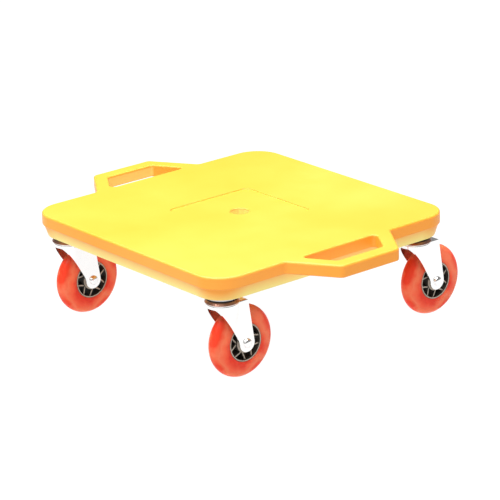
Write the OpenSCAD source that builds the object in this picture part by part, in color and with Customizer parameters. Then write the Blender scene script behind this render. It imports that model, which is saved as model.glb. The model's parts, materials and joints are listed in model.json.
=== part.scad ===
// Scooter board: a square moulded board with two hand grips on four swivel casters.
// The origin is on the floor, at the middle of the footprint. X runs from grip to grip,
// and all four casters trail towards +Y, as they lie after the board has rolled towards -Y.

/* [Board] */
// Length of each side of the square board
board_side = 406; // [370:2:440]
// Height of the board's top face above the floor
board_top_z = 153; // [152:1:160]
// Radius of the board's corners
board_corner_r = 41; // [34:1:50]
// Height of the upright band around the top, and thickness of the grips
band_h = 17.2; // [14:0.2:20]
// Depth of the whole rim, from the top face down to its lower edge
rim_h = 33.1; // [32:0.1:34]
// Thickness of the top panel
panel_t = 5; // [4:0.5:7]
// Thickness of the rim wall
wall_t = 4; // [3:0.5:5]
// Rounding of the upper edges
edge_r = 3; // [1:0.5:4]
// Side of the shallow square recess in the middle
recess_side = 140; // [100:1:180]
// Depth of the recess
recess_depth = 1.5; // [0.5:0.5:2]
// Diameter of the hole through the middle
hole_d = 26; // [16:1:40]

/* [Grips] */
// Reach of each grip beyond the side of the board
grip_reach = 64; // [56:1:70]
// Length of the grip where it joins the board
grip_root = 180; // [164:1:190]
// Length of the grip's outer edge, measured to its unrounded corners
grip_tip = 97; // [90:1:120]
// Width of the bar that the fingers close round
grip_bar = 21; // [18:0.5:24]
// Length of the hand slot along the board
slot_root = 132; // [110:1:136]
// Length of the hand slot along the bar
slot_tip = 78; // [70:1:80]

/* [Casters] */
// Distance of each swivel axis from the sides of the board
pivot_inset = 36.5; // [36:0.5:45]
// Distance from the swivel axis to the wheel's axle
trail = 26.4; // [24:0.2:28]
// Diameter of the wheel
wheel_d = 98; // [94:1:98]
// Width of the tyre
tyre_w = 24; // [22:0.5:24]
// Width of the wheel core across its rim and hub
core_w = 24; // [23:0.5:24.5]
// Distance between the fork's outer faces at the axle
fork_w = 31; // [31:0.5:36]
// Thickness of the pressed steel fork
fork_t = 2.5; // [2:0.25:2.5]
// Diameter of the axle bolt
axle_d = 8; // [8:1:8]
// Pairs of spokes in each wheel core
spoke_pairs = 5; // [4:1:6]
// Balls in the upper race
upper_ball_count = 14; // [10:1:16]
// Balls in the lower race
lower_ball_count = 12; // [8:1:12]

/* [Hidden] */
$fn = 48;

// Corners: name, side along X, side along Y, and how far the wheel has rolled where it rests.
// Left and right are those of the rolling direction.
corners = [
    ["front_left", 1, -1, 50],
    ["front_right", -1, -1, 15],
    ["rear_left", 1, 1, 17],
    ["rear_right", -1, 1, 35]];
caster_parts = [
    "stem", "upper_race", "dust_seal", "lower_race",
    "fork", "swivel_cup", "upper_balls", "lower_balls",
    "axle_bolt", "axle_nut", "axle_spacers",
    "tyre", "wheel_core", "bearings"];

yellow = [0.98, 0.82, 0.2];
chrome = [0.82, 0.83, 0.85];
steel = [0.6, 0.6, 0.62];
red = [0.9, 0.25, 0.12];

eps = 0.01;
gap = 0.3;
fit = 0.05;

// Board, measured from its own centre
half = board_side / 2;
pivot_offset = half - pivot_inset;
wheel_r = wheel_d / 2;
overhang = pivot_offset + trail + wheel_r - board_side / 2;
board_y = -overhang / 2;
band_z = board_top_z - band_h;
rim_z = board_top_z - rim_h;
skirt_step = 2;
skirt_inset = 6.8;
slot_reach = grip_reach - grip_bar;
slot_corner_r = 6;
grip_corner_r = 9;
rib_t = 2.5;
rib_z = rim_z + 1;
rib_first = 20;
rib_rows = 4;
rib_margin = 48;
rib_pitch = (half - rib_margin - rib_first) / (rib_rows - 1);
rib_short = 40;
recess_corner_r = 12;
merge_z = board_top_z - 3;

// Stem fitting in the board
boss_r = 15;
boss_z = board_top_z - 31;
insert_r = 8.5;
insert_h = 20;
stem_r = 6;
stem_h = 18;
collar_r = 10;
journal_r = 5;

// Swivel bearing, from the crown upwards
crown_z = board_top_z - 43.6;
crown_r = 21.5;
crown_back = 30.5;
cup_r = 23;
cup_floor = 1.5;
cup_wall = 2;
cup_lean = 2.6;
ball_r = 2.38;
ball_track = 14.5;
ball_z = crown_z + cup_floor + ball_r;
race_z = ball_z + ball_r + gap;
race_r = 21.5;
collar_z = race_z + 2.4;
seal_r = 22.8;
seal_w = 3.8;
cup_top_z = crown_z + 4.7;
bearing_bore_r = journal_r + 1.5;

// Swivel bearing, from the crown downwards
small_ball_r = 1.6;
small_track = 10.5;
small_ball_z = crown_z - fork_t - small_ball_r;
lower_race_z = small_ball_z - small_ball_r - gap;
lower_race_t = 1.8;
rivet_r = 8;
rivet_h = 2;

// Fork: a round shoulder under the crown that tapers until the flat legs stand proud of it
leg_x = fork_w / 2 - fork_t;
shoulder_z = crown_z - 12.4;
taper_z = wheel_r + 11;
taper = (crown_r - fork_w / 2) / (shoulder_z - taper_z);

// Fork outline, seen along X: distances from the swivel axis, heights above the floor
leg_tip_r = 12;
leg_corner_r = 4;
apron_z = crown_z - 5.5;
leg_front = [-14, crown_z - 11.5];
leg_knee = [6.8, wheel_r + 17];

// Axle hardware
head_r = 6.5;
head_h = 4.4;
thread_h = 7;
nut_r = 7.5;
nut_h = 6;
sleeve_r = 6;
bush_r = 6.5;

// Wheel
seat_r = 25.5;
rim_t = 1.6;
bearing_r = 11;
bearing_w = 7;
ring_w = 1.7;
shield_depth = 0.4;
play = 0.2;
hub_r = 14;
hub_bore_r = 7;
spoke_t = 2;
spoke_w = core_w - 5;
spoke_spread = 23.5;
tread_r = 10;
side_h = 5.5;

// ---- shared shapes ----

// Points of an arc round c
function arc(c, r, a0, a1, n) =
    [for (i = [0:n]) let (a = a0 + (a1 - a0) * i / n) c + r * [cos(a), sin(a)]];

// Points of a curve from p0 to p2 that bends towards p1
function bend(p0, p1, p2, n) =
    [for (i = [0:n]) let (t = i / n) p0 * (1 - t) * (1 - t) + p1 * 2 * t * (1 - t) + p2 * t * t];

// Direction from c to the point where a line from p touches the circle, on the side given
function touch(p, c, r, side) =
    let (d = p - c) atan2(d[1], d[0]) + side * acos(r / norm(d));

// One rounded corner b of an outline, between a and c, from convex or concave corners alike
function corner_arc(a, b, c, r, n = 6) =
    let (
        u = (a - b) / norm(a - b),
        v = (c - b) / norm(c - b),
        half_angle = acos(u * v) / 2,
        m = b + (u + v) / norm(u + v) * r / sin(half_angle),
        p = b + u * r / tan(half_angle) - m,
        q = b + v * r / tan(half_angle) - m,
        a0 = atan2(p[1], p[0]),
        turn = (atan2(q[1], q[0]) - a0 + 540) % 360 - 180)
    arc(m, r, a0, a0 + turn, n);

// An outline with every corner rounded: each entry is [point, radius]
function rounded(pts) =
    let (n = len(pts))
    [for (i = [0:n - 1], p = corner_arc(
        pts[(i + n - 1) % n][0], pts[i][0], pts[(i + 1) % n][0], pts[i][1])) p];

// Outline of the square board, set in from its edge
function board_outline(inset) =
    let (h = half - inset, r = board_corner_r - inset)
    rounded([[[h, h], r], [[-h, h], r], [[-h, -h], r], [[h, -h], r]]);

// Outline of one grip on the +X side, with its root inside the board
function grip_outline(inset) =
    let (
        root = grip_root / 2 - inset,
        tip = grip_tip / 2 - inset,
        reach = half + grip_reach - inset,
        deep = half - 2 * board_corner_r,
        r = grip_corner_r - inset)
    rounded([
        [[deep, -root], r], [[half, -root], 1],
        [[reach, -tip], r], [[reach, tip], r],
        [[half, root], 1], [[deep, root], r]]);

slot_outline = rounded([
    [[half, -slot_root / 2], slot_corner_r], [[half + slot_reach, -slot_tip / 2], slot_corner_r],
    [[half + slot_reach, slot_tip / 2], slot_corner_r], [[half, slot_root / 2], slot_corner_r]]);

// Wedge that fills the inner corner between grip and board, seen from above
web_outline = [
    [half - wall_t, -grip_root / 2 - 6], [half, -grip_root / 2 - 6],
    [half + 3.5, -grip_root / 2 + 2.3], [half - wall_t, -grip_root / 2 + 2.3]];

module plate(pts, z, h) {
    translate([0, 0, z])
        linear_extrude(height = h)
            polygon(pts);
}

// A tube or ring standing on z
module ring(r_out, r_in, z, h) {
    translate([0, 0, z])
        difference() {
            cylinder(r = r_out, h = h);
            translate([0, 0, -1])
                cylinder(r = r_in, h = h + 2);
        }
}

// The same, lying along X and centred on the axle
module axle_ring(r_out, r_in, x, w) {
    rotate([0, 90, 0])
        ring(r_out, r_in, x, w);
}

module axle_solid(r, x, w) {
    rotate([0, 90, 0])
        translate([0, 0, x])
            cylinder(r = r, h = w);
}

// Moves a caster's part from the swivel axis to its corner
module at_pivot(c) {
    translate([c[1] * pivot_offset, board_y + c[2] * pivot_offset, 0])
        children();
}

// Moves a wheel's part from its own centre to its corner
module at_axle(c) {
    at_pivot(c)
        translate([0, trail, wheel_r])
            children();
}

// ---- board ----

// The upright band, its upper edge rounded in three steps
module band() {
    hull()
        for (a = [0:30:90])
            plate(board_outline(edge_r * (1 - sin(a))), band_z, band_h - edge_r * (1 - cos(a)));
}

module grip() {
    hull()
        for (a = [0:30:90])
            plate(grip_outline(edge_r * (1 - sin(a))), band_z, band_h - edge_r * (1 - cos(a)));
}

// The sloping skirt under the band, or the hollow inside it
module skirt(inset, z0, z1) {
    slope = (skirt_inset - skirt_step) / (band_z - rim_z);
    hull() {
        plate(board_outline(inset + skirt_step + slope * (band_z - z0)), z0, eps);
        plate(board_outline(inset + skirt_step + slope * (band_z - z1)), z1 - eps, eps);
    }
}

module rib(offset_mm, length) {
    for (s = [-1, 1]) {
        translate([s * offset_mm - rib_t / 2, -length / 2, rib_z])
            cube([rib_t, length, board_top_z - panel_t - rib_z + 1]);
        translate([-length / 2, s * offset_mm - rib_t / 2, rib_z])
            cube([length, rib_t, board_top_z - panel_t - rib_z + 1]);
    }
}

module board_shell() {
    difference() {
        union() {
            band();
            skirt(0, rim_z, band_z + eps);
            for (s = [0, 180])
                rotate([0, 0, s]) {
                    grip();
                    for (m = [0, 1])
                        mirror([0, m, 0])
                            plate(web_outline, band_z, band_h - edge_r);
                }
        }
        skirt(wall_t, rim_z - 1, board_top_z - panel_t);
    }
}

module board() {
    rib_length = 2 * (half - skirt_inset - wall_t / 2);
    color(yellow)
        translate([0, board_y, 0])
            difference() {
                union() {
                    board_shell();
                    for (i = [0:rib_rows - 1])
                        rib(rib_first + i * rib_pitch, rib_length - (i < rib_rows - 1 ? 0 : rib_short));
                    ring(hole_d / 2 + wall_t, hole_d / 2, rib_z, merge_z - rib_z);
                    for (c = corners)
                        translate([c[1] * pivot_offset, c[2] * pivot_offset, boss_z])
                            cylinder(r = boss_r, h = merge_z - boss_z);
                }
                for (s = [0, 180])
                    rotate([0, 0, s])
                        plate(slot_outline, band_z - 20, band_h + 40);
                recess();
                translate([0, 0, rim_z])
                    cylinder(r = hole_d / 2, h = rim_h + 1);
                for (c = corners)
                    translate([c[1] * pivot_offset, c[2] * pivot_offset, boss_z - 1])
                        cylinder(r = insert_r, h = insert_h + 1);
            }
}

module recess() {
    h = recess_side / 2;
    r = recess_corner_r;
    plate(rounded([[[h, h], r], [[-h, h], r], [[-h, -h], r], [[h, -h], r]]),
        board_top_z - recess_depth, recess_depth + 1);
}

// Threaded inserts moulded into the four bosses
module stem_inserts() {
    color("goldenrod")
        for (c = corners)
            at_pivot(c)
                ring(insert_r, stem_r + fit, boss_z, insert_h);
}

// ---- caster: parts fixed to the board ----

// Stem: threaded above its hexagon collar, a plain journal below, with a riveted end
module stem(c) {
    color(steel)
        at_pivot(c) {
            translate([0, 0, boss_z])
                cylinder(r = stem_r, h = stem_h);
            translate([0, 0, collar_z])
                cylinder(r = collar_r, h = boss_z - collar_z, $fn = 6);
            translate([0, 0, lower_race_z - lower_race_t])
                cylinder(r = journal_r, h = collar_z - lower_race_z + lower_race_t + eps);
            translate([0, 0, lower_race_z - lower_race_t - rivet_h])
                cylinder(r1 = rivet_r - 1.5, r2 = rivet_r, h = rivet_h);
        }
}

module upper_race(c) {
    color(steel)
        at_pivot(c)
            ring(race_r, journal_r, race_z, collar_z - race_z);
}

module dust_seal(c) {
    seal_z = cup_top_z + gap;
    color("black")
        at_pivot(c)
            ring(seal_r, seal_r - seal_w, seal_z, race_z - seal_z);
}

module lower_race(c) {
    color(steel)
        at_pivot(c)
            ring(small_track + 2.5, journal_r, lower_race_z - lower_race_t, lower_race_t);
}

// ---- caster: parts that swivel ----

// Outline of the fork, seen along X: lip, straight front edge, round tip, and back edge
function fork_outline() =
    let (
        tip = [trail, wheel_r],
        low = tip - [leg_tip_r, 0],
        edge = (leg_knee - leg_front) / (leg_knee[0] - leg_front[0]),
        lip = leg_front + edge * (apron_z - leg_front[1]) / edge[1],
        turn = leg_front + edge * (low[0] - leg_front[0]),
        corner = [crown_back - leg_corner_r, crown_z - leg_corner_r],
        a1 = touch(corner + [leg_corner_r, 0], tip, leg_tip_r, -1))
    concat(
        [[-crown_r - 1, crown_z + 1], [-crown_r - 1, apron_z]],
        bend([lip[0] - 2.5, apron_z], lip, leg_front, 4),
        bend(leg_knee, turn, low, 5),
        arc(tip, leg_tip_r, 180, a1 + 360, 20),
        arc(corner, leg_corner_r, 0, 90, 4));

// The fork as a solid, or the space inside it: round shoulder and flat-sided legs together
module fork_form(inset, top) {
    foot = 10;
    rotate_extrude()
        polygon([
            [0, taper_z - foot], [fork_w / 2 - inset - foot * taper, taper_z - foot],
            [crown_r - inset, shoulder_z], [crown_r - inset, top], [0, top]]);
    translate([-fork_w / 2 + inset, leg_front[0] + 2, wheel_r - leg_tip_r - 1])
        cube([fork_w - 2 * inset, 2 * crown_back, top - wheel_r + leg_tip_r + 1]);
}

module fork(c) {
    color(chrome)
        at_pivot(c)
            difference() {
                intersection() {
                    fork_form(0, crown_z);
                    translate([-fork_w, 0, 0])
                        rotate([90, 0, 90])
                            linear_extrude(height = 2 * fork_w)
                                polygon(fork_outline());
                }
                fork_form(fork_t, crown_z - fork_t);
                translate([0, 0, crown_z - fork_t - 1])
                    cylinder(r = bearing_bore_r, h = fork_t + 2);
                translate([0, trail, wheel_r])
                    axle_solid(axle_d / 2 + fit, -fork_w, 2 * fork_w);
            }
}

// Pressed cup on the crown that carries the upper balls: a rolled lower edge, and a wall that leans in
module swivel_cup(c) {
    rim = cup_r - cup_lean;
    edge_z = crown_z + 1;
    color(chrome)
        at_pivot(c)
            rotate_extrude()
                polygon([
                    [bearing_bore_r, crown_z], [cup_r - 1, crown_z], [cup_r, edge_z],
                    [rim, cup_top_z], [rim - cup_wall, cup_top_z],
                    [cup_r - cup_wall, crown_z + cup_floor], [bearing_bore_r, crown_z + cup_floor]]);
}

module balls(c, n, track, z, r) {
    color(steel)
        at_pivot(c)
            for (i = [0:n - 1])
                rotate([0, 0, i * 360 / n])
                    translate([track, 0, z])
                        sphere(r = r);
}

module upper_balls(c) {
    balls(c, upper_ball_count, ball_track, ball_z, ball_r);
}

module lower_balls(c) {
    balls(c, lower_ball_count, small_track, small_ball_z, small_ball_r);
}

// Axle bolt with a low round head on the +X side
module axle_bolt(c) {
    color(steel)
        at_axle(c) {
            axle_solid(axle_d / 2, -fork_w / 2 - thread_h, fork_w + thread_h + eps);
            rotate([0, 90, 0])
                translate([0, 0, fork_w / 2])
                    cylinder(r1 = head_r, r2 = head_r - 1, h = head_h);
        }
}

module axle_nut(c) {
    color(steel)
        at_axle(c)
            rotate([0, -90, 0])
                difference() {
                    translate([0, 0, fork_w / 2])
                        cylinder(r = nut_r, h = nut_h, $fn = 6);
                    cylinder(r = axle_d / 2 + fit, h = fork_w);
                }
}

// Sleeve between the two bearings, and a bush on each side of the hub
module axle_spacers(c) {
    bore = axle_d / 2 + fit;
    sleeve = core_w / 2 - bearing_w - play;
    bush = leg_x - core_w / 2 - play;
    color(steel)
        at_axle(c) {
            axle_ring(sleeve_r, bore, -sleeve, 2 * sleeve);
            for (x = [-leg_x, leg_x - bush])
                axle_ring(bush_r, bore, x, bush);
        }
}

// ---- caster: parts that roll ----

// Tyre profile: flat beside the core, leaning in to a round tread
module tyre(c) {
    tread = [wheel_r - tread_r, 0];
    side = [seat_r + side_h, tyre_w / 2];
    a = touch(side, tread, tread_r, -1);
    color(red)
        at_axle(c)
            rotate([0, 90, 0])
                rotate_extrude($fn = 96)
                    polygon(concat(
                        [[seat_r, -tyre_w / 2], [side[0], -side[1]]],
                        arc(tread, tread_r, -a, a, 16),
                        [side, [seat_r, tyre_w / 2]]));
}

// One spoke from the hub to the rim, leaning by the spread
module spoke(a, lean) {
    p = (bearing_r + hub_r) / 2 * [cos(a), sin(a)];
    q = (seat_r - rim_t / 2) * [cos(a + lean), sin(a + lean)];
    d = q - p;
    translate([p[0], p[1], -spoke_w / 2])
        rotate([0, 0, atan2(d[1], d[0])])
            translate([0, -spoke_t / 2, 0])
                cube([norm(d), spoke_t, spoke_w]);
}

// Rim, hub and spokes, with a seat for a bearing in each end of the hub
module wheel_core(c) {
    color([0.72, 0.7, 0.66])
        at_axle(c)
            rotate([0, 90, 0])
                difference() {
                    union() {
                        ring(seat_r, seat_r - rim_t, -core_w / 2, core_w);
                        translate([0, 0, -core_w / 2])
                            cylinder(r = hub_r, h = core_w);
                        for (i = [0:spoke_pairs - 1], s = [-1, 1])
                            spoke(c[3] + i * 360 / spoke_pairs, s * spoke_spread);
                    }
                    translate([0, 0, -core_w])
                        cylinder(r = hub_bore_r, h = 2 * core_w);
                    for (z = [-core_w / 2 - 1, core_w / 2 - bearing_w])
                        translate([0, 0, z])
                            cylinder(r = bearing_r, h = bearing_w + 1);
                }
}

// Two ball bearings, their shields set in from the rings
module bearings(c) {
    color(steel)
        at_axle(c)
            for (x = [-core_w / 2, core_w / 2 - bearing_w])
                difference() {
                    axle_ring(bearing_r, axle_d / 2 + fit, x, bearing_w);
                    for (f = [x - 1, x + bearing_w - shield_depth])
                        axle_ring(bearing_r - ring_w, axle_d / 2 + ring_w, f, 1 + shield_depth);
                }
}

board();
stem_inserts();
for (c = corners) {
    stem(c);
    upper_race(c);
    dust_seal(c);
    lower_race(c);
    fork(c);
    swivel_cup(c);
    upper_balls(c);
    lower_balls(c);
    axle_bolt(c);
    axle_nut(c);
    axle_spacers(c);
    tyre(c);
    wheel_core(c);
    bearings(c);
}
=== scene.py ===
import json
import math

import bmesh
import bpy
from mathutils import Matrix, Vector


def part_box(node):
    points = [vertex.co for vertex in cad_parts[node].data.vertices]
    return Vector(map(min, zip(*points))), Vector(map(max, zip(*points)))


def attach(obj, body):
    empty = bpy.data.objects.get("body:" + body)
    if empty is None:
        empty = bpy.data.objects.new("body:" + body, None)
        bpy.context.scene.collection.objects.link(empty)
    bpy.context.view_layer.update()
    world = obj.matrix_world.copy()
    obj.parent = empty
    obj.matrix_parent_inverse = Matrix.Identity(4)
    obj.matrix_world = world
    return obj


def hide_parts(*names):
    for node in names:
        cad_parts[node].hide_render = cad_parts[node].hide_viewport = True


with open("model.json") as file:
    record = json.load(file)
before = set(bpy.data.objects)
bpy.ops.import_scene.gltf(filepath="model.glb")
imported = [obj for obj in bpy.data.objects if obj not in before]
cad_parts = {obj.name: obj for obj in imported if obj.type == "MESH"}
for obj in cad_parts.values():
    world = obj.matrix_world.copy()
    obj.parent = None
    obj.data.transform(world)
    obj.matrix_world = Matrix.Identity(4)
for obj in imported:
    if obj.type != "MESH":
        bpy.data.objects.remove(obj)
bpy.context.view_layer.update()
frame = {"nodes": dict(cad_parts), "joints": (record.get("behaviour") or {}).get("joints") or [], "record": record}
MM = 0.001


# ---------------------------------------------------------------- places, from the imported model

record = frame["record"]
mounts = {m["name"]: m for m in record["mounts"]}
joints = {j["name"]: j for j in frame["joints"]}
CORNERS = ("front_left", "front_right", "rear_left", "rear_right")


def low_high(node):
    """A CAD node's lowest and highest corner, in millimetres."""
    lo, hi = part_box(node)
    return lo / MM, hi / MM


board_y = mounts["centre_hole"]["pos_m"][1] / MM
hole_r = mounts["centre_hole"]["dims"]["r_mm"]
board_lo, board_hi = low_high("board")
TOP = board_hi.z
RIM = board_lo.z
HALF = board_hi.y - board_y
REACH = board_hi.x
tyre_lo, tyre_hi = low_high("front_left_tyre")
cup_lo, cup_hi = low_high("front_left_swivel_cup")
seal_lo, seal_hi = low_high("front_left_dust_seal")
race_lo, race_hi = low_high("front_left_upper_race")
low_race_lo, low_race_hi = low_high("front_left_lower_race")
stem_lo, stem_hi = low_high("front_left_stem")
core_lo, core_hi = low_high("front_left_wheel_core")
bolt_lo, bolt_hi = low_high("front_left_axle_bolt")
nut_lo, nut_hi = low_high("front_left_axle_nut")

PIVOT = {c: Vector(joints[c + "_swivel"]["pos_m"]) / MM for c in CORNERS}
AXLE = {c: Vector(joints[c + "_roll"]["pos_m"]) / MM for c in CORNERS}
TRAIL = AXLE["front_left"].y - PIVOT["front_left"].y
WHEEL_R = AXLE["front_left"].z
FORK_W = 2 * (AXLE["front_left"].x - nut_hi.x)
CROWN_Z = low_high("front_left_fork")[1].z
CORE_W = core_hi.x - core_lo.x
TYRE_W = tyre_hi.x - tyre_lo.x

# The same sizes as the CAD part's own values, in millimetres, with angles in degrees
BAND_H = 17.2
BAND_Z = TOP - BAND_H
CORNER_R = 41.0
GRIP_ROOT, GRIP_TIP, GRIP_BAR = 180.0, 97.0, 21.0
SLOT_ROOT, SLOT_TIP = 132.0, 78.0
SLOT_END = REACH - GRIP_BAR
SKIRT_STEP, SKIRT_INSET = 2.0, 6.8
PANEL_T, WALL_T = 5.0, 4.0
RECESS_SIDE, RECESS_DEPTH = 140.0, 1.5
FORK_T = 2.5
AXLE_R = 4.0
SEAT_R = 25.5
HUB_R, BEARING_R, BEARING_W = 14.0, 11.0, 7.0
LEG_TIP_R = 12.0
CROWN_R = 21.5
APRON_Z = CROWN_Z - 5.5
RIB_T, RIB_FIRST, RIB_ROWS, RIB_MARGIN, RIB_SHORT = 2.5, 20.0, 4, 48.0, 40.0
BOSS_R, BOSS_Z, INSERT_R, INSERT_H = 15.0, TOP - 31, 8.5, 20.0
MERGE_Z = TOP - 3
COLLAR_WALL = 4.0
RECESS_CORNER_R, SLOT_CORNER_R, GRIP_CORNER_R = 12.0, 6.0, 9.0
BEARING_BORE_R = 6.5
CUP_LEAN, CUP_WALL, CUP_FLOOR = 2.6, 2.0, 1.5
SEAL_W = 3.8
JOURNAL_R, STEM_R, STEM_COLLAR_R = 5.0, 6.0, 10.0
HEAD_R, NUT_R = 6.5, 7.5
RIVET_R, RIVET_H = 8.0, 2.0
CROWN_BACK, LEG_CORNER_R = 30.5, 4.0
RIM_T, HUB_BORE_R = 1.6, 7.0
SPOKE_T, SPOKE_SPREAD, SPOKE_PAIRS, SPOKE_RECESS = 2.0, 23.5, 5, 2.5
RUNNING_FIT = 0.05

# Radius of the inner corner between grip and board, where the CAD has a wedge
GRIP_ROOT_R = 7.0

# How far each wheel has rolled at rest, in degrees
ROLLED = {"front_left": 50, "front_right": 15, "rear_left": 17, "rear_right": 35}

# How softly a material changes, and where the skirt's painted light fades out towards a corner, in millimetres
MASK_EDGE = 0.5
CUP_REFLECTION_EDGE = 0.6
FADE_FROM, FADE_TO = 150.0, 195.0


# ---------------------------------------------------------------- mesh helpers (millimetres in)

def new_object(name, verts, faces):
    mesh = bpy.data.meshes.new(name)
    mesh.from_pydata([Vector(v) * MM for v in verts], [], faces)
    mesh.validate()
    bm = bmesh.new()
    bm.from_mesh(mesh)
    bmesh.ops.recalc_face_normals(bm, faces=bm.faces)
    bm.to_mesh(mesh)
    bm.free()
    obj = bpy.data.objects.new(name, mesh)
    bpy.context.scene.collection.objects.link(obj)
    return obj


def apply_all(obj):
    """Replaces the mesh by its result with every modifier."""
    bpy.context.view_layer.update()
    depsgraph = bpy.context.evaluated_depsgraph_get()
    mesh = bpy.data.meshes.new_from_object(obj.evaluated_get(depsgraph))
    old = obj.data
    obj.modifiers.clear()
    obj.data = mesh
    bpy.data.meshes.remove(old)
    return obj


def boolean(obj, other, operation, own=False):
    mod = obj.modifiers.new("boolean", "BOOLEAN")
    mod.operation = operation
    mod.solver = "EXACT"
    mod.use_self = own
    mod.object = other
    apply_all(obj)
    bpy.data.objects.remove(other)
    return obj


def clean(obj):
    """Merges doubled vertices and dissolves slivers that a boolean leaves."""
    distance = 0.002 * MM
    bm = bmesh.new()
    bm.from_mesh(obj.data)
    bmesh.ops.remove_doubles(bm, verts=bm.verts, dist=distance)
    bmesh.ops.dissolve_degenerate(bm, edges=bm.edges, dist=distance)
    bmesh.ops.recalc_face_normals(bm, faces=bm.faces)
    bm.to_mesh(obj.data)
    bm.free()
    return obj


def smooth(obj, angle=32):
    """Smooth shading with true flat faces, and crisp edges above the angle."""
    obj.data.shade_smooth()
    obj.data.set_sharp_from_angle(angle=math.radians(angle))
    mod = obj.modifiers.new("normals", "WEIGHTED_NORMAL")
    mod.keep_sharp = True
    mod.weight = 80
    return obj


def soften(obj, width, segments=2, angle=40):
    """Rounds every edge sharper than the angle."""
    mod = obj.modifiers.new("bevel", "BEVEL")
    mod.width = width * MM
    mod.segments = segments
    mod.limit_method = "ANGLE"
    mod.angle_limit = math.radians(angle)
    mod.use_clamp_overlap = True
    return apply_all(obj)


def loft(name, loops):
    """A closed solid through loops of equal length. Each loop is a list of points."""
    n = len(loops[0])
    verts = [p for loop in loops for p in loop]
    faces = [tuple(range(n))[::-1], tuple(range((len(loops) - 1) * n, len(loops) * n))]
    for k in range(len(loops) - 1):
        for i in range(n):
            j = (i + 1) % n
            faces.append((k * n + i, k * n + j, (k + 1) * n + j, (k + 1) * n + i))
    return new_object(name, verts, faces)


def lathe(name, profile, axis="z", segments=96):
    """A closed solid of revolution. Each profile point is (radius, height); radius 0 makes a pole."""
    verts, rings = [], []
    for r, h in profile:
        count = 1 if r < 1e-6 else segments
        rings.append((len(verts), count))
        for i in range(count):
            a = 2 * math.pi * i / segments
            if axis == "z":
                verts.append((r * math.cos(a), r * math.sin(a), h))
            else:
                verts.append((h, r * math.cos(a), r * math.sin(a)))
    faces = []
    last = len(profile) if profile[0][0] > 1e-6 else len(profile) - 1
    for k in range(last):
        a0, na = rings[k]
        b0, nb = rings[(k + 1) % len(rings)]
        for i in range(segments):
            j = (i + 1) % segments
            face = [a0 + i % na, a0 + j % na, b0 + j % nb, b0 + i % nb]
            face = [v for m, v in enumerate(face) if v not in face[:m]]
            if len(face) > 2:
                faces.append(tuple(face))
    return new_object(name, verts, faces)


def fillet(points, radii, steps=4):
    """Rounds the corners of an open or closed profile of (radius, height) points."""
    out = []
    n = len(points)
    for i in range(n):
        b, r = Vector(points[i]), radii[i]
        if r <= 0:
            out.append(tuple(b))
            continue
        a, c = Vector(points[i - 1]), Vector(points[(i + 1) % n])
        u, v = (a - b).normalized(), (c - b).normalized()
        half = math.acos(max(-1, min(1, u.dot(v)))) / 2
        cut = min(r / math.tan(half), (a - b).length * 0.49, (c - b).length * 0.49)
        p, q = b + u * cut, b + v * cut
        for s in range(steps + 1):
            t = s / steps
            out.append(tuple(p * (1 - t) ** 2 + b * 2 * t * (1 - t) + q * t * t))
    return out


def outline(corners, inset=0.0, steps=8):
    """A rounded outline, counterclockwise, moved inwards by the inset. Each corner is (x, y, radius)."""
    n = len(corners)
    pts = [Vector(c[:2]) for c in corners]
    out = []
    for i in range(n):
        a, b, c = pts[i - 1], pts[i], pts[(i + 1) % n]
        u, v = (b - a).normalized(), (c - b).normalized()
        cross = u.x * v.y - u.y * v.x
        nu, nv = Vector((-u.y, u.x)), Vector((-v.y, v.x))
        turn = math.atan2(cross, u.dot(v))
        b2 = b + (nu + nv) * (inset / (1 + nu.dot(nv)))
        r = max(corners[i][2] + (-inset if cross > 0 else inset), 0.15)
        cut = r * math.tan(abs(turn) / 2)
        start = b2 - u * cut
        centre = start + (nu if cross > 0 else -nu) * r
        a0 = math.atan2(start.y - centre.y, start.x - centre.x)
        count = steps * 2 if corners[i][2] > 20 else steps
        for s in range(count + 1):
            t = a0 + turn * s / count
            out.append(centre + Vector((math.cos(t), math.sin(t))) * r)
    return out


def at_height(points, z):
    return [(p[0], p[1], z) for p in points]


def square(half, r):
    return [(half, -half, r), (half, half, r), (-half, half, r), (-half, -half, r)]


def quarter(r, steps=5):
    """Pairs (inset, drop) along a quarter round, from the side to the face."""
    return [(r * (1 - math.cos(math.pi / 2 * s / steps)), r * (1 - math.sin(math.pi / 2 * s / steps)))
            for s in range(steps + 1)]


def place(obj, location, body, slot, *nodes):
    obj.location = Vector(location) * MM
    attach(obj, body)
    if nodes:
        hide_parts(*nodes)
    return obj


def twin(obj, name):
    """Another object with the same mesh and modifiers."""
    other = obj.copy()
    other.name = name
    bpy.context.scene.collection.objects.link(other)
    return other


# ---------------------------------------------------------------- materials

def ramp(nodes, stops):
    node = nodes.new("ShaderNodeValToRGB")
    el = node.color_ramp.elements
    while len(el) > 1:
        el.remove(el[-1])
    el[0].position, el[0].color = stops[0][0], (*stops[0][1], 1)
    for pos, col in stops[1:]:
        e = el.new(pos)
        e.color = (*col, 1)
    return node


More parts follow.
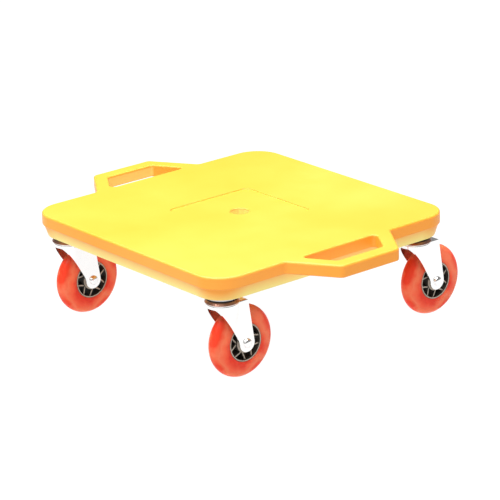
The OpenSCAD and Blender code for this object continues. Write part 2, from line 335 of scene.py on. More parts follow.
class Maker:
    """One procedural material, with short calls for the nodes used here."""

    def __init__(self, name):
        self.mat = bpy.data.materials.new(name)
        self.mat.use_nodes = True
        self.nodes, self.links = self.mat.node_tree.nodes, self.mat.node_tree.links
        self.shader = self.nodes["Principled BSDF"]
        self.coords = self.nodes.new("ShaderNodeTexCoord").outputs["Object"]

    def set(self, **values):
        for key, value in values.items():
            self.shader.inputs[key.replace("_", " ")].default_value = value
        return self

    def scaled(self, scale):
        node = self.nodes.new("ShaderNodeMapping")
        node.inputs["Scale"].default_value = scale
        self.links.new(self.coords, node.inputs["Vector"])
        return node.outputs["Vector"]

    def noise(self, scale, detail=4, rough=0.5, vector=None):
        node = self.nodes.new("ShaderNodeTexNoise")
        node.inputs["Scale"].default_value = scale
        node.inputs["Detail"].default_value = detail
        node.inputs["Roughness"].default_value = rough
        self.links.new(vector or self.coords, node.inputs["Vector"])
        return node.outputs["Fac"]

    def math(self, operation, a, b=None):
        node = self.nodes.new("ShaderNodeMath")
        node.operation = operation
        for k, value in enumerate((a, b)):
            if value is None:
                continue
            if isinstance(value, (int, float)):
                node.inputs[k].default_value = value
            else:
                self.links.new(value, node.inputs[k])
        return node.outputs["Value"]

    def xyz(self):
        node = self.nodes.new("ShaderNodeSeparateXYZ")
        self.links.new(self.coords, node.inputs["Vector"])
        return node.outputs["X"], node.outputs["Y"], node.outputs["Z"]

    def spread(self, value, a0, a1, b0, b1):
        node = self.nodes.new("ShaderNodeMapRange")
        for key, number in zip(("From Min", "From Max", "To Min", "To Max"), (a0, a1, b0, b1)):
            node.inputs[key].default_value = number
        self.links.new(value, node.inputs["Value"])
        return node.outputs["Result"]

    def colour(self, value, stops):
        node = ramp(self.nodes, stops)
        self.links.new(value, node.inputs["Fac"])
        return node.outputs["Color"]

    def mix(self, factor, a, b):
        node = self.nodes.new("ShaderNodeMix")
        node.data_type = "RGBA"
        for socket, value in ((node.inputs[0], factor), (node.inputs[6], a), (node.inputs[7], b)):
            if isinstance(value, tuple):
                socket.default_value = (*value, 1)
            else:
                self.links.new(value, socket)
        return node.outputs[2]

    def to(self, name, output):
        self.links.new(output, self.shader.inputs[name])
        return self

    def bump(self, height, strength, distance):
        node = self.nodes.new("ShaderNodeBump")
        node.inputs["Strength"].default_value = strength
        node.inputs["Distance"].default_value = distance
        self.links.new(height, node.inputs["Height"])
        self.links.new(node.outputs["Normal"], self.shader.inputs["Normal"])
        return self


def board_plastic():
    """Glossy moulded plastic: faint broad flow marks, fine scuffs and orange peel,
    and painted light: a paler colour on the skirt between its corners, the hole's collar and the inside
    of each grip's bar, as if light from below and behind came through the plastic."""
    m = Maker("board_plastic").set(Specular_IOR_Level=0.36, IOR=1.46)
    cloud = m.noise(4.0, 3, 0.45)
    drift = m.noise(11.0, 3, 0.5, m.scaled((1.0, 1.0, 0.4)))
    fine = m.noise(420, 2)
    tone = m.math("ADD", m.math("MULTIPLY", cloud, 0.7), m.math("MULTIPLY", drift, 0.3))
    solid = m.colour(tone, [
        (0.30, (0.93, 0.320, 0.021)), (0.50, (0.95, 0.350, 0.034)), (0.70, (0.97, 0.385, 0.056))])
    x, y, z = m.xyz()
    side, end = m.math("ABSOLUTE", x), m.math("ABSOLUTE", y)
    near, far = FADE_FROM * MM, FADE_TO * MM
    # Painted light: a paler colour on the skirt, faded out towards the corners (boss), on the hole's collar and on
    # the inner wall of each grip's bar
    boss = m.math("MULTIPLY", m.spread(side, near, far, 0.0, 0.75), m.spread(end, near, far, 0.0, 1.0))
    painted_skirt_light = m.math("SUBTRACT", m.spread(z, RIM * MM, (BAND_Z - MASK_EDGE) * MM, 1.0, 0.4), boss)
    skirt = m.math("MULTIPLY", painted_skirt_light, m.spread(z, (BAND_Z - MASK_EDGE) * MM, BAND_Z * MM, 1.0, 0.0))
    reach = m.math("SQRT", m.math("ADD", m.math("MULTIPLY", x, x), m.math("MULTIPLY", y, y)))
    collar = m.math("MULTIPLY", m.spread(reach, (hole_r + 0.2) * MM, (hole_r + MASK_EDGE) * MM, 0.7, 0.0),
                    m.spread(z, (TOP - 4) * MM, (TOP - 3) * MM, 1.0, 0.4))
    inner = m.math("MULTIPLY", m.spread(side, (SLOT_END - 3) * MM, (SLOT_END - MASK_EDGE) * MM, 0.0, 0.45),
                   m.spread(side, (SLOT_END + MASK_EDGE) * MM, (SLOT_END + 2) * MM, 1.0, 0.0))
    below = m.math("MULTIPLY", m.spread(z, (TOP - 4) * MM, (TOP - 2) * MM, 1.0, 0.0),
                   m.spread(end, (SLOT_TIP / 2 + 2) * MM, (SLOT_TIP / 2 + 8) * MM, 1.0, 0.0))
    bar = m.math("MULTIPLY", inner, below)
    painted_light = m.math("MAXIMUM", m.math("MAXIMUM", skirt, collar), bar)
    # The paler colour mixed in here is painted light
    m.to("Base Color", m.mix(painted_light, solid, (0.99, 0.84, 0.26)))
    scuff = m.noise(900, 3, 0.7, m.scaled((1.0, 0.12, 1.0)))
    m.to("Roughness", m.math("ADD", m.spread(drift, 0.3, 0.7, 0.33, 0.40),
                             m.spread(scuff, 0.55, 0.8, 0.0, 0.07)))
    height = m.math("ADD", m.math("MULTIPLY", drift, 0.8), m.math("MULTIPLY", fine, 0.05))
    return m.bump(height, 0.05, 0.001).mat


def tyre_urethane():
    """Cast urethane: deep red near the core and in the tread and paler sides, a painted light glowing through it
    and painted shade, with cloudy bands of its own tone and faint mould lines."""
    m = Maker("tyre_urethane").set(
        Specular_IOR_Level=0.16, Subsurface_Weight=0.35, Subsurface_Scale=0.006,
        Subsurface_Radius=(1.0, 0.2, 0.08), IOR=1.45)
    _, y, z = m.xyz()
    r = m.math("SQRT", m.math("ADD", m.math("MULTIPLY", y, y), m.math("MULTIPLY", z, z)))
    cloud, swirl = m.noise(30, 3), m.noise(70, 3, 0.5)
    # Painted light and shade: deep red near the core, pale half-way out, deep red again in the tread; the cloud
    # adds the urethane's own tone
    painted_glow_and_tone = m.math("ADD", m.spread(r, SEAT_R * MM, WHEEL_R * MM, 0.0, 1.0),
                   m.spread(cloud, 0.35, 0.65, -0.30, 0.30))
    m.to("Base Color", m.colour(painted_glow_and_tone, [
        (0.0, (0.84, 0.050, 0.022)), (0.30, (0.96, 0.130, 0.058)), (0.62, (0.97, 0.205, 0.095)),
        (0.86, (0.94, 0.120, 0.052)), (1.0, (0.90, 0.062, 0.024))]))
    m.to("Roughness", m.spread(swirl, 0.3, 0.7, 0.28, 0.38))
    lines = m.math("SINE", m.math("MULTIPLY", r, 5200.0))
    return m.bump(m.math("ADD", m.math("MULTIPLY", lines, 0.05), swirl), 0.05, 0.0003).mat


def chrome():
    """Bright chrome with faint drawing marks; above the crown the swivel cup is rougher, and its reddish-brown
    colour is a painted reflection of the board's orange underside."""
    m = Maker("fork_chrome").set(Metallic=1.0)
    haze, draw = m.noise(38, 4), m.noise(260, 3, 0.6, m.scaled((1.0, 1.0, 0.15)))
    bright = m.colour(haze, [(0.3, (0.93, 0.93, 0.925)), (0.7, (0.97, 0.965, 0.955))])
    painted_reflection = m.colour(haze, [(0.3, (0.44, 0.22, 0.16)), (0.7, (0.56, 0.32, 0.25))])
    polish = m.math("ADD", m.spread(haze, 0.3, 0.7, 0.05, 0.10), m.spread(draw, 0.4, 0.8, 0.0, 0.04))
    z = m.xyz()[2]
    low, high = CROWN_Z * MM, (CROWN_Z + CUP_REFLECTION_EDGE) * MM
    m.to("Roughness", m.math("ADD", polish, m.spread(z, low, high, 0.0, 0.26)))
    # Above the crown the colour is a painted reflection of the board's orange underside
    m.to("Base Color", m.mix(m.spread(z, low, high, 0.0, 1.0), bright, painted_reflection))
    return m.bump(haze, 0.05, 0.0006).mat


def metal(name, dark, light, low, high, scale=180, stretch=(1, 1, 1)):
    """Turned or plated steel, with fine tool marks."""
    m = Maker(name).set(Metallic=1.0)
    grain = m.noise(scale, 4, 0.6, m.scaled(stretch))
    spots = m.noise(45, 3)
    m.to("Base Color", m.colour(spots, [(0.3, dark), (0.7, light)]))
    m.to("Roughness", m.spread(grain, 0.3, 0.7, low, high))
    return m.bump(grain, 0.10, 0.0002).mat


def rubber():
    m = Maker("seal_rubber").set(Specular_IOR_Level=0.35)
    grain = m.noise(520, 3)
    m.to("Base Color", m.colour(grain, [(0.3, (0.010, 0.010, 0.011)), (0.7, (0.028, 0.027, 0.027))]))
    m.to("Roughness", m.spread(grain, 0.3, 0.7, 0.5, 0.7))
    return m.bump(grain, 0.2, 0.0002).mat


def nylon():
    """Moulded nylon, dark with painted shade in its pockets and on its inner faces, and pale on the end faces of
    its spokes, ring and hub as painted light.
    """
    m = Maker("core_nylon").set(Specular_IOR_Level=0.35)
    grain, stain = m.noise(700, 3), m.noise(70, 4)
    x = m.xyz()[0]
    split = m.nodes.new("ShaderNodeSeparateXYZ")
    m.links.new(m.nodes["Texture Coordinate"].outputs["Normal"], split.inputs["Vector"])
    facing = m.spread(m.math("ABSOLUTE", split.outputs["X"]), 0.72, 0.95, 0.0, 1.0)
    face = CORE_W / 2 - SPOKE_RECESS
    outer = m.spread(m.math("ABSOLUTE", x), (face - 0.9) * MM, (face - 0.3) * MM, 0.0, 1.0)
    # Painted shade: the dark colour in the pockets; painted light: the pale colour (clean) on the end faces
    painted_pocket_shade = m.colour(stain, [(0.3, (0.035, 0.028, 0.022)), (0.7, (0.060, 0.048, 0.038))])
    clean = m.colour(stain, [(0.3, (0.40, 0.33, 0.26)), (0.7, (0.52, 0.44, 0.36))])
    m.to("Base Color", m.mix(m.math("MULTIPLY", facing, outer), painted_pocket_shade, clean))
    m.to("Roughness", m.spread(grain, 0.3, 0.7, 0.38, 0.55))
    return m.bump(grain, 0.18, 0.0002).mat


MATERIALS = {
    "board_plastic": board_plastic(),
    "tyre_urethane": tyre_urethane(),
    "fork_chrome": chrome(),
    "seal_rubber": rubber(),
    "core_nylon": nylon(),
    "plain_steel": metal("plain_steel", (0.50, 0.50, 0.52), (0.66, 0.66, 0.67), 0.25, 0.40),
    "ball_steel": metal("ball_steel", (0.72, 0.72, 0.74), (0.84, 0.84, 0.86), 0.06, 0.12),
    "bolt_zinc": metal("bolt_zinc", (0.88, 0.88, 0.88), (0.95, 0.95, 0.94), 0.10, 0.18),
    "bearing_steel": metal("bearing_steel", (0.46, 0.46, 0.48), (0.62, 0.62, 0.64), 0.20, 0.34),
    "insert_brass": metal("insert_brass", (0.62, 0.42, 0.15), (0.78, 0.56, 0.24), 0.22, 0.36),
}
SLOT_OF = {s["node"]: s["material_slot"] for s in record["subparts"]}


def paint(obj, slot):
    obj.data.materials.clear()
    obj.data.materials.append(MATERIALS[slot])
    return obj


# ---------------------------------------------------------------- the board

def deck_corners():
    root, tip = GRIP_ROOT / 2, GRIP_TIP / 2
    right = [(HALF, -HALF, CORNER_R), (HALF, -root, GRIP_ROOT_R), (REACH, -tip, GRIP_CORNER_R),
             (REACH, tip, GRIP_CORNER_R), (HALF, root, GRIP_ROOT_R), (HALF, HALF, CORNER_R)]
    return right + [(-x, -y, r) for x, y, r in right]


def deck_body():
    """The upright band and both grips, rounded at the top and eased underneath."""
    corners = deck_corners()
    under, over = quarter(2.0, 4), quarter(3.0, 6)
    loops = [at_height(outline(corners, i), BAND_Z + d) for i, d in reversed(under)]
    loops += [at_height(outline(corners, i), TOP - d) for i, d in over]
    return loft("deck", loops)


def skirt_solid():
    slope = (SKIRT_INSET - SKIRT_STEP) / (BAND_Z - RIM)
    base = square(HALF, CORNER_R)
    loops = [at_height(outline(base, SKIRT_INSET + i), RIM + d) for i, d in reversed(quarter(1.2, 3))]
    loops.append(at_height(outline(base, SKIRT_STEP), BAND_Z))
    loops.append(at_height(outline(base, SKIRT_STEP - slope), BAND_Z + 3))
    return loft("skirt", loops)


def hollow():
    slope = (SKIRT_INSET - SKIRT_STEP) / (BAND_Z - RIM)
    base = square(HALF, CORNER_R)
    roof = TOP - PANEL_T

    def inset(z):
        return SKIRT_STEP + WALL_T + slope * (BAND_Z - z)

    loops = [at_height(outline(base, inset(RIM) - 1.0), RIM - 1),
             at_height(outline(base, inset(RIM)), RIM + 1)]
    loops += [at_height(outline(base, inset(roof) + i), roof - d) for i, d in quarter(3.0, 4)]
    return loft("hollow", loops)


def spool(name, corners, top, bottom, r_top, r_bottom):
    """A cutter that flares at both ends, so the opening it leaves has rounded lips."""
    loops = [at_height(outline(corners, -r_bottom), bottom - 1)] if r_bottom else []
    loops += [at_height(outline(corners, -i), bottom + d) for i, d in reversed(quarter(r_bottom, 4))]
    loops += [at_height(outline(corners, -i), top - d) for i, d in quarter(r_top, 5)]
    loops.append(at_height(outline(corners, -r_top), top + 1))
    return loft(name, loops)


def round_spool(name, r, top, bottom, r_top, r_bottom):
    profile = [(0, bottom - 1), (r + r_bottom, bottom - 1)]
    profile += [(r + i, bottom + d) for i, d in reversed(quarter(r_bottom, 3))]
    profile += [(r + i, top - d) for i, d in quarter(r_top, 5)]
    profile += [(r + r_top, top + 1), (0, top + 1)]
    return lathe(name, profile, "z", 72)


def box_mesh(name, boxes):
    verts, faces = [], []
    for lo, hi in boxes:
        k = len(verts)
        verts += [(x, y, z) for x in (lo[0], hi[0]) for y in (lo[1], hi[1]) for z in (lo[2], hi[2])]
        faces += [tuple(k + i for i in f) for f in (
            (0, 1, 3, 2), (4, 6, 7, 5), (0, 4, 5, 1), (2, 3, 7, 6), (0, 2, 6, 4), (1, 5, 7, 3))]
    return new_object(name, verts, faces)


def ribs():
    last = RIB_ROWS - 1
    pitch = (HALF - RIB_MARGIN - RIB_FIRST) / last
    full = HALF - SKIRT_INSET - WALL_T / 2
    half_t, low, roof = RIB_T / 2, RIM + 1, TOP - PANEL_T + 1.5
    boxes = []
    for i in range(RIB_ROWS):
        reach = full if i < last else full - RIB_SHORT / 2
        for s in (-1, 1):
            o = s * (RIB_FIRST + i * pitch)
            boxes.append(((o - half_t, -reach, low), (o + half_t, reach, roof)))
            boxes.append(((-reach, o - half_t, low), (reach, o + half_t, roof)))
    return box_mesh("ribs", boxes)


def build_deck():
    deck = deck_body()
    boolean(deck, skirt_solid(), "UNION")
    boolean(deck, hollow(), "DIFFERENCE")
    boolean(deck, ribs(), "UNION", own=True)
    collar_r = hole_r + COLLAR_WALL
    boolean(deck, lathe("collar", [(0, RIM + 1), (collar_r - 0.4, RIM + 1), (collar_r, RIM + 1.4),
                                   (collar_r, MERGE_Z), (0, MERGE_Z)], "z", 64), "UNION")
    for c in CORNERS:
        spot = Vector((PIVOT[c].x, PIVOT[c].y - board_y, 0)) * MM
        boss = lathe("boss", [(0, BOSS_Z), (BOSS_R - 0.6, BOSS_Z), (BOSS_R, BOSS_Z + 0.6),
                              (BOSS_R, MERGE_Z), (0, MERGE_Z)], "z", 48)
        boss.location = spot
        boolean(deck, boss, "UNION")
        low, high = BOSS_Z - 2, BOSS_Z + INSERT_H
        bore = lathe("bore", [(0, low), (INSERT_R, low), (INSERT_R, high), (0, high)], "z", 48)
        bore.location = spot
        boolean(deck, bore, "DIFFERENCE")
    r = SLOT_CORNER_R
    slot = [(HALF, -SLOT_ROOT / 2, r), (SLOT_END, -SLOT_TIP / 2, r),
            (SLOT_END, SLOT_TIP / 2, r), (HALF, SLOT_ROOT / 2, r)]
    for side in (1, -1):
        corners = [(side * x, side * y, r) for x, y, r in slot]
        boolean(deck, spool("slot", corners, TOP, BAND_Z, 2.4, 1.5), "DIFFERENCE")
    floor = TOP - RECESS_DEPTH
    corner = square(RECESS_SIDE / 2, RECESS_CORNER_R)
    steps = [(1.0, 0.0), (0.7, 0.08), (0.4, 0.4), (0.1, 1.2), (-0.1, 1.42), (-0.5, 1.56)]
    dish = loft("dish", [at_height(outline(corner, i), floor + z) for i, z in steps]
                + [at_height(outline(corner, -0.6), TOP + 1)])
    boolean(deck, dish, "DIFFERENCE")
    boolean(deck, round_spool("hole", hole_r, floor, RIM + 1, 1.4, 0.8), "DIFFERENCE")
    clean(deck)
    return smooth(deck, 34)


deck = paint(build_deck(), "board_plastic")
place(deck, (0, board_y, 0), "board", "board_plastic", "board")


# ---------------------------------------------------------------- the casters

def tyre_mesh():
    tread_r, side_h = 10.0, 5.5
    half, seat = TYRE_W / 2, SEAT_R
    cx, px, py = WHEEL_R - tread_r, seat + side_h, half
    d = Vector((px - cx, py))
    touch = math.atan2(d.y, d.x) - math.acos(tread_r / d.length)
    arc = [(cx + tread_r * math.cos(t), tread_r * math.sin(t))
           for t in [touch * (1 - 2 * s / 32) for s in range(33)]]
    side = fillet([(seat, half), (px, half), arc[0]], [0.06, 4.0, 0], 5)
    back = [(r, -h) for r, h in reversed(side)]
    return lathe("tyre", side + arc[1:-1] + back, "x", 192)


def core_mesh():
    half = CORE_W / 2
    rim_r = SEAT_R - RIM_T
    ring = lathe("core", fillet([(SEAT_R, -half), (SEAT_R, half), (rim_r, half), (rim_r, -half)],
                                [0.06, 0.06, 0.3, 0.3], 2), "x", 144)
    hub = lathe("hub", fillet([(HUB_R, -half), (HUB_R, half), (HUB_BORE_R, half), (HUB_BORE_R, -half)],
                              [0.5, 0.5, 0, 0], 3), "x", 96)
    boolean(ring, hub, "UNION")
    face, root_r, tip_r = half - SPOKE_RECESS, (BEARING_R + HUB_R) / 2, SEAT_R - RIM_T / 2
    spokes = []
    for i in range(SPOKE_PAIRS):
        for s in (-1, 1):
            a = math.radians(i * 360 / SPOKE_PAIRS)
            b = math.radians(i * 360 / SPOKE_PAIRS + s * SPOKE_SPREAD)
            # the CAD's local X and Y lie along -Z and +Y once the wheel is turned on to its axle
            p = Vector((root_r * math.sin(a), -root_r * math.cos(a)))
            q = Vector((tip_r * math.sin(b), -tip_r * math.cos(b)))
            d = (q - p).normalized()
            n = Vector((-d.y, d.x)) * SPOKE_T / 2
            corners = [p - n, q - n, q + n, p + n]
            spokes.append([(face * k, c.x, c.y) for k in (-1, 1) for c in corners])
    verts, faces = [], []
    for points in spokes:
        k = len(verts)
        verts += points
        faces += [tuple(k + i for i in f) for f in (
            (0, 1, 2, 3), (4, 7, 6, 5), (0, 4, 5, 1), (1, 5, 6, 2), (2, 6, 7, 3), (3, 7, 4, 0))]
    boolean(ring, soften(new_object("spokes", verts, faces), 0.35, 2), "UNION", own=True)
    step = half - BEARING_W
    bore = lathe("bore", [(0, -half - 1), (BEARING_R, -half - 1), (BEARING_R, -step), (HUB_BORE_R, -step),
                          (HUB_BORE_R, step), (BEARING_R, step), (BEARING_R, half + 1), (0, half + 1)],
                 "x", 96)
    boolean(ring, bore, "DIFFERENCE")
    return smooth(clean(ring), 30)


def fork_outline():
    """The fork seen along X, as (distance from the swivel axis, height):
    lip, straight front edge, tip and back edge."""
    tip = Vector((TRAIL, WHEEL_R))
    front, knee = Vector((-14.0, CROWN_Z - 11.5)), Vector((6.8, WHEEL_R + 17))
    edge = (knee - front) / (knee.x - front.x)
    lip = front + edge * ((APRON_Z - front.y) / edge.y)
    low = tip - Vector((LEG_TIP_R, 0))
    turn = front + edge * (low.x - front.x)
    corner = Vector((CROWN_BACK - LEG_CORNER_R, CROWN_Z - LEG_CORNER_R))
    d = corner + Vector((LEG_CORNER_R, 0)) - tip
    a1 = math.atan2(d.y, d.x) - math.acos(LEG_TIP_R / d.length) + 2 * math.pi

    def bend(p0, p1, p2, n):
        steps = [k / n for k in range(n + 1)]
        return [p0 * (1 - t) ** 2 + p1 * 2 * t * (1 - t) + p2 * t * t for t in steps]

    def arc(c, r, t0, t1, n):
        angles = [t0 + (t1 - t0) * k / n for k in range(n + 1)]
        return [c + Vector((math.cos(t), math.sin(t))) * r for t in angles]

    pts = [Vector((-CROWN_R - 2, CROWN_Z + 1)), Vector((-CROWN_R - 2, APRON_Z))]
    pts += bend(Vector((lip.x - 2.5, APRON_Z)), lip, front, 6)
    pts += bend(knee, turn, low, 8)
    pts += arc(tip, LEG_TIP_R, math.pi, a1, 32)
    return pts + arc(corner, LEG_CORNER_R, 0, math.pi / 2, 6)


def wider(a, b, blend):
    """The larger of two widths, with a soft change from one to the other."""
    h = max(blend - abs(a - b), 0) / blend
    return max(a, b) + h * h * blend / 4


def fork_form(name, inset, top, bottom, edge_r):
    """Round shoulder that tapers until the flat-sided legs stand proud of it,
    as one solid of level sections."""
    shoulder, foot = CROWN_Z - 12.4, WHEEL_R + 11
    taper = (CROWN_R - FORK_W / 2) / (shoulder - foot)

    def section(z, extra):
        flat = FORK_W / 2 - inset - extra
        r = max(CROWN_R - inset - extra - taper * wider(0, shoulder - z, 6), flat - 4)
        split = -0.66 * r
        side = []
        for k in range(10):
            a = -math.pi / 2 + (math.asin(-0.66) + math.pi / 2) * k / 10
            side.append((r * math.cos(a), r * math.sin(a)))
        for y in [split + (18 - split) * k / 34 for k in range(35)] + [22, 27, 33, 40]:
            t = max(0, min(1, (-10 - y) / 5))
            x = wider(flat - 4 * t * t * (3 - 2 * t), math.sqrt(max(r * r - y * y, 0)), 2.6)
            side.append((x, y))
        return at_height(side + [(-x, y) for x, y in reversed(side[1:])], z)

    steps = 16
    levels = [bottom, WHEEL_R] + [foot - 6 + (top - edge_r - foot + 6) * k / steps for k in range(steps)]
    loops = [section(z, 0) for z in levels] + [section(top - d, i) for i, d in quarter(edge_r, 6)]
    return loft(name, loops)


def fork_mesh():
    """Pressed fork in one piece, cut to its outline, with eased edges."""
    fork = fork_form("fork", 0, CROWN_Z, 30, 2.2)
    boolean(fork, loft("side", [[(x, p.x, p.y) for p in fork_outline()] for x in (-30, 30)]), "INTERSECT")
    boolean(fork, fork_form("space", FORK_T, CROWN_Z - FORK_T, 28, 1.2), "DIFFERENCE")
    clean(fork)
    soften(fork, 0.45, 3, 50)
    clean(fork)
    low, high = CROWN_Z - 6, CROWN_Z + 2
    hole = lathe("hole", [(0, low), (BEARING_BORE_R, low), (BEARING_BORE_R, high), (0, high)], "z", 48)
    boolean(fork, hole, "DIFFERENCE")
    r = AXLE_R + RUNNING_FIT
    axle = lathe("axle", [(0, -30), (r, -30), (r, 30), (0, 30)], "x", 48)
    axle.location = Vector((0, TRAIL, WHEEL_R)) * MM
    boolean(fork, axle, "DIFFERENCE")
    return smooth(clean(fork), 30)


def cup_mesh():
    """Pressed cup: a rolled lower edge and a wall that leans in."""
    r, z0, z1 = (cup_hi.x - cup_lo.x) / 2, cup_lo.z, cup_hi.z
    rim, floor = r - CUP_LEAN, z0 + CUP_FLOOR
    profile = [(BEARING_BORE_R, z0), (r - 0.8, z0), (r, z0 + 1), (rim, z1), (rim - CUP_WALL, z1),
               (r - CUP_WALL, floor), (BEARING_BORE_R, floor)]
    return smooth(lathe("cup", fillet(profile, [0, 0.4, 0.5, 0.6, 0.3, 0.6, 0], 4), "z", 128), 40)


def race_mesh(name, lo, hi):
    """A flat race round the journal, with eased outer edges."""
    r = (hi.x - lo.x) / 2
    profile = [(JOURNAL_R, lo.z), (r, lo.z), (r, hi.z), (JOURNAL_R, hi.z)]
    return smooth(lathe(name, fillet(profile, [0, 0.5, 0.5, 0], 4), "z", 112), 40)


def seal_mesh():
    """Rubber ring whose lip tapers towards the cup."""
    r, z0, z1 = (seal_hi.x - seal_lo.x) / 2, seal_lo.z, seal_hi.z
    taper, inner = 2.0, r - SEAL_W
    profile = [(inner, z0), (r - taper, z0), (r, z1 - 0.5), (r, z1), (inner, z1)]
    return smooth(lathe("seal", fillet(profile, [0, 0.3, 0.2, 0.1, 0], 3), "z", 112), 40)


def hexagon(r):
    return [(r * math.cos(math.pi / 3 * k), r * math.sin(math.pi / 3 * k)) for k in range(6)]


def stem_mesh():
    """Turned journal with a riveted end, a chamfered hexagon collar,
    and a threaded shank inside the board."""
    z_low, z_high = stem_lo.z, stem_hi.z
    rivet_z, edge = z_low + RIVET_H, 0.5
    collar0, collar1 = race_hi.z, BOSS_Z
    profile = [(0, z_low), (RIVET_R - 1.5, z_low), (RIVET_R, rivet_z), (JOURNAL_R, rivet_z),
               (JOURNAL_R, collar0 + edge), (STEM_R, collar0 + edge), (STEM_R, z_high), (0, z_high)]
    stem = lathe("stem", fillet(profile, [0, 0.6, 0.5, 0, 0, 0, 0.6, 0], 3), "z", 64)
    pts = hexagon(STEM_COLLAR_R)
    narrow = [(x * 0.95, y * 0.95) for x, y in pts]
    collar = loft("hexagon", [at_height(narrow, collar0), at_height(pts, collar0 + edge),
                              at_height(pts, collar1 - edge), at_height(narrow, collar1)])
    boolean(stem, collar, "UNION")
    return smooth(clean(stem), 30)


def bolt_mesh():
    """Axle bolt with a low, smooth domed head."""
    face = bolt_hi.x - AXLE["front_left"].x
    inner, end = FORK_W / 2, bolt_lo.x - AXLE["front_left"].x
    tall = face - inner
    head = [((HEAD_R - 0.5) * math.sin(t), inner + tall * (0.42 + 0.58 * math.cos(t)))
            for t in [math.pi / 2 * k / 12 for k in range(13)]]
    head += [(HEAD_R - 0.2, inner + tall * 0.36), (HEAD_R, inner + tall * 0.2), (HEAD_R, inner + 0.3),
             (HEAD_R - 0.3, inner), (AXLE_R, inner)]
    shank = [(AXLE_R, end + 0.8), (AXLE_R - 0.8, end), (0, end)]
    return smooth(lathe("bolt", head + shank, "x", 72), 45)


def nut_mesh():
    """Locking nut: chamfered hexagon with a round collar, facing -X."""
    inner, outer = -FORK_W / 2, nut_lo.x - AXLE["front_left"].x
    pts = hexagon(NUT_R)

    def level(s, x):
        return [(x, a * s, b * s) for a, b in pts]

    nut = loft("nut", [level(0.94, inner), level(1, inner - 0.4), level(1, outer + 1.6),
                       level(0.93, outer + 1.1)])
    profile = [(0, outer + 2), (6.0, outer + 2), (6.0, outer), (4.6, outer), (4.6, outer + 0.8),
               (0, outer + 0.8)]
    collar = lathe("collar", fillet(profile, [0, 0, 0.7, 0.2, 0, 0], 3), "x", 48)
    boolean(nut, collar, "UNION")
    r, start, end = AXLE_R + RUNNING_FIT, inner + 1, outer - 1
    bore = lathe("bore", [(0, start), (r, start), (r, end), (0, end)], "x", 48)
    boolean(nut, bore, "DIFFERENCE")
    return smooth(clean(nut), 30)


def bearings_mesh():
    """Two ball bearings with eased rings and pressed shields."""
    half = CORE_W / 2
    profile = [(AXLE_R + RUNNING_FIT, 0), (5.6, 0), (5.6, 0.4), (6.4, 0.55), (8.4, 0.45),
               (9.2, 0.4), (9.2, 0), (BEARING_R, 0)]
    ease = [0.3 if h == 0 else 0.1 for _, h in profile]
    solids = []
    for s in (1, -1):
        outer = [(r, s * (half - h)) for r, h in profile]
        inner = [(r, s * (half - BEARING_W + h)) for r, h in reversed(profile)]
        solids.append(lathe("bearing", fillet(outer + inner, ease + ease[::-1], 2), "x", 72))
    bm = bmesh.new()
    for s in solids:
        bm.from_mesh(s.data)
    mesh = bpy.data.meshes.new("bearings")
    bm.to_mesh(mesh)
    bm.free()
    first = solids[0]
    first.data = mesh
    bpy.data.objects.remove(solids[1])
    return smooth(first, 35)


# part: (maker, material slot, whose body, whether it is centred on the axle)
CASTER = {
    "stem": (stem_mesh, "plain_steel", "board", False),
    "upper_race": (lambda: race_mesh("race", race_lo, race_hi), "plain_steel", "board", False),
    "dust_seal": (seal_mesh, "seal_rubber", "board", False),
    "lower_race": (lambda: race_mesh("low_race", low_race_lo, low_race_hi), "plain_steel", "board", False),
    "fork": (fork_mesh, "fork_chrome", "swivel", False),
    "swivel_cup": (cup_mesh, "fork_chrome", "swivel", False),
    "axle_bolt": (bolt_mesh, "bolt_zinc", "swivel", True),
    "axle_nut": (nut_mesh, "bolt_zinc", "swivel", True),
    "tyre": (lambda: smooth(tyre_mesh(), 60), "tyre_urethane", "wheel", True),
    "wheel_core": (core_mesh, "core_nylon", "wheel", True),
    "bearings": (bearings_mesh, "bearing_steel", "wheel", True),
}
for part, (maker, slot, whose, on_axle) in CASTER.items():
    first = paint(maker(), slot)
    for index, corner in enumerate(CORNERS):
        name = f"{corner}_{part}_look"
        if index == 0:
            first.name = name
            piece = first
        else:
            piece = twin(first, name)
        if part == "wheel_core":
            piece.rotation_euler.x = math.radians(ROLLED[corner])
        spot = AXLE[corner] if on_axle else Vector((PIVOT[corner].x, PIVOT[corner].y, 0))
        body = "board" if whose == "board" else f"{corner}_{whose}"
        place(piece, spot, body, slot, f"{corner}_{part}")

# The parts that stay as CAD nodes only get a material in their slot: their meshes are left alone
for node, obj in frame["nodes"].items():
    if not obj.hide_render:
        obj.material_slots[0].material = MATERIALS[SLOT_OF[node]]


# ---------------------------------------------------------------- stage, light, camera

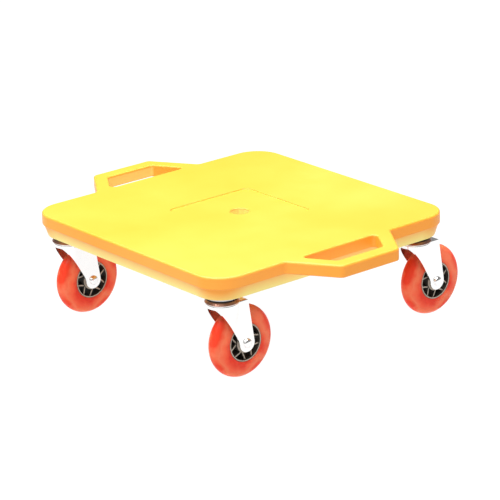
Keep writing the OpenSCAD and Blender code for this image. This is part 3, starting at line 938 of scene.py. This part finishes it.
def build_floor():
    mesh = bpy.data.meshes.new("floor")
    bm = bmesh.new()
    bmesh.ops.create_grid(bm, x_segments=8, y_segments=8, size=14.0)
    bm.to_mesh(mesh)
    bm.free()
    floor = bpy.data.objects.new("floor", mesh)
    bpy.context.scene.collection.objects.link(floor)
    m = Maker("floor_paper").set(Base_Color=(0.06, 0.06, 0.06, 1), Roughness=0.9, Specular_IOR_Level=0.0,
                                 Emission_Color=(1, 1, 1, 1), Emission_Strength=1.0)
    mesh.materials.append(m.mat)


def area_light(name, location, target, size, power):
    data = bpy.data.lights.new(name, "AREA")
    data.shape = "SQUARE"
    data.size, data.energy = size, power
    obj = bpy.data.objects.new(name, data)
    obj.location = location
    obj.rotation_euler = (Vector(target) - Vector(location)).to_track_quat("-Z", "Y").to_euler()
    bpy.context.scene.collection.objects.link(obj)


build_floor()
area_light("overhead", (-0.1, -0.15, 1.6), (0, 0, 0.1), 2.2, 97)
area_light("front", (0.9, -2.0, 1.8), (0, 0, 0.1), 2.8, 13)

world = bpy.data.worlds.new("studio")
world.use_nodes = True
world.node_tree.nodes["Background"].inputs["Color"].default_value = (1, 1, 1, 1)
world.node_tree.nodes["Background"].inputs["Strength"].default_value = 0.25
bpy.context.scene.world = world
bpy.context.scene.view_settings.view_transform = "Standard"

# The viewing angle, aimed at a point on the deck's top face
azimuth, elevation, roll = math.radians(51.23), math.radians(19.25), math.radians(-1.96)
distance, aim = 3.5862, Vector((0.1365, board_y * MM - 0.0940, TOP * MM))
right = Vector((math.cos(azimuth), math.sin(azimuth), 0))
level = Vector((math.sin(azimuth), -math.cos(azimuth), 0))
back = level * math.cos(elevation) + Vector((0, 0, math.sin(elevation)))
up = back.cross(right)
right, up = math.cos(roll) * right + math.sin(roll) * up, -math.sin(roll) * right + math.cos(roll) * up
camera_data = bpy.data.cameras.new("camera")
camera_data.lens = 199.6
camera_data.sensor_width = 36.0
camera_data.clip_end = 100
camera = bpy.data.objects.new("camera", camera_data)
turned = Matrix((right, up, back)).transposed().to_4x4()
camera.matrix_world = Matrix.Translation(aim + back * distance) @ turned
bpy.context.scene.collection.objects.link(camera)
bpy.context.scene.camera = camera
